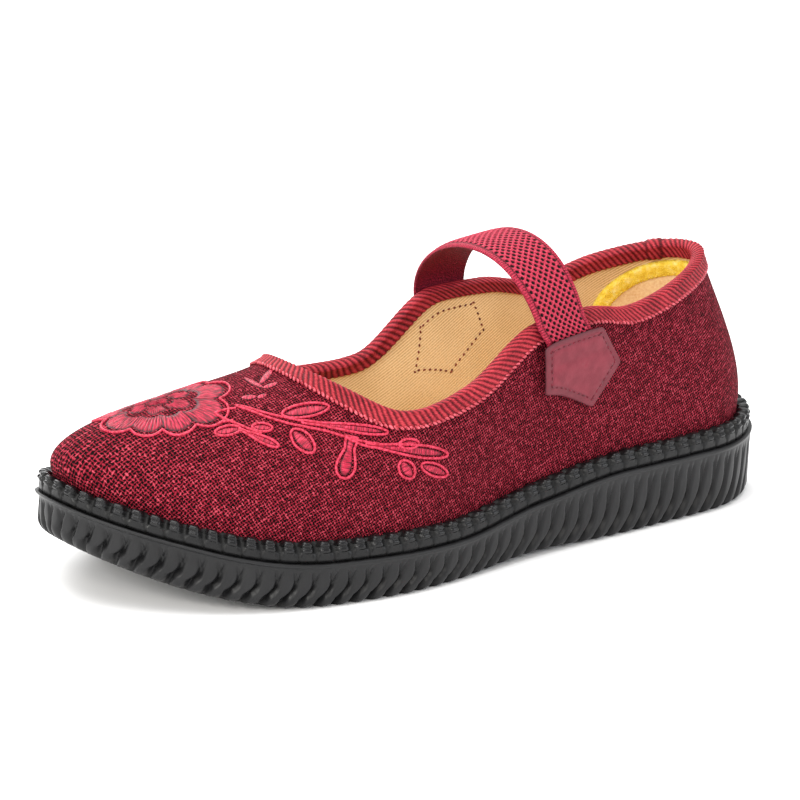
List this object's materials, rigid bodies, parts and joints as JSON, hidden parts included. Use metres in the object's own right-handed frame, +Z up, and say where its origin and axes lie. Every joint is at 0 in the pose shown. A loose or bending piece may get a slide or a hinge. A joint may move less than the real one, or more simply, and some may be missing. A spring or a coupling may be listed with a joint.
{
  "type": "chinese cloth shoe",
  "caption": "Left cloth shoe with a woven upper, bound collar, elastic instep strap and a ribbed moulded sole with a beaded welt.",
  "frame": {"origin": "on the floor, under the middle of the sole's box", "axes": "+X to the toe, +Y to the outer side of the left foot, +Z up"},
  "size_m": [0.25, 0.0938, 0.0947],
  "materials": {
    "sole": "moulded black PVC, semi-gloss",
    "welt": "moulded black PVC, glossy beads",
    "footbed": "cream cotton twill",
    "cloth": "crimson and black melange weave",
    "tape": "ribbed grosgrain tape",
    "towelling": "padded cotton with yellow towelling edge",
    "elastic": "open-mesh elastic webbing",
    "leatherette": "matt coated leatherette"
  },
  "bodies": {
    "root": {"outsole": "sole", "welt": "welt", "insole": "footbed", "upper": "cloth", "binding": "tape", "heel_grip": "towelling", "strap": "elastic", "patch_outer": "leatherette", "patch_inner": "leatherette"}
  },
  "joints": []
}
